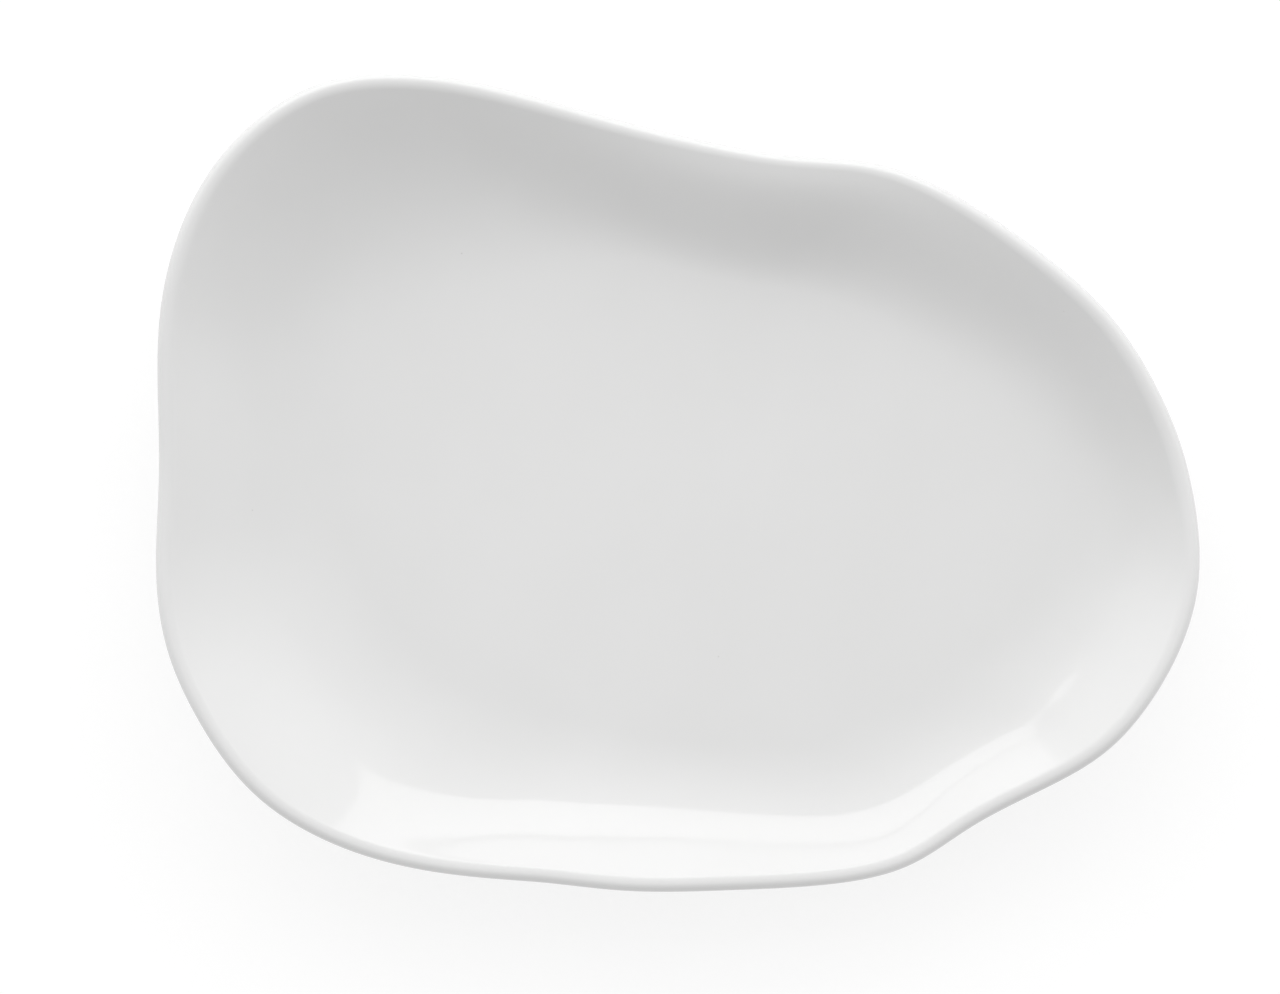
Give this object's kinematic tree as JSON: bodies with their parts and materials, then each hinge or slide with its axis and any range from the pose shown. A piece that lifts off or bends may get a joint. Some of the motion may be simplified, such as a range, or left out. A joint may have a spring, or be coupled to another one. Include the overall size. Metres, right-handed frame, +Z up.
{
  "type": "saucer",
  "caption": "Shallow free-form glazed porcelain saucer with a pebble outline, rounded lip, flat floor and a bare foot ring; holds a cup or small foods.",
  "frame": {"origin": "on the table, under the middle of the outline's box", "axes": "+X along the length, to the picture's right; +Y across the width, to the picture's top; +Z up"},
  "size_m": [0.1686, 0.132, 0.023],
  "materials": {
    "porcelain": "unglazed white porcelain under the coats",
    "face_glaze": "clear gloss over white",
    "back_glaze": "clear gloss over white",
    "base_glaze": "clear gloss over white",
    "bare_foot": "matt bare porcelain, wiped and polished"
  },
  "bodies": {
    "root": {"porcelain_body": "porcelain", "face_glaze": "face_glaze", "back_glaze": "back_glaze", "base_glaze": "base_glaze", "foot_ring": "bare_foot"}
  },
  "joints": []
}
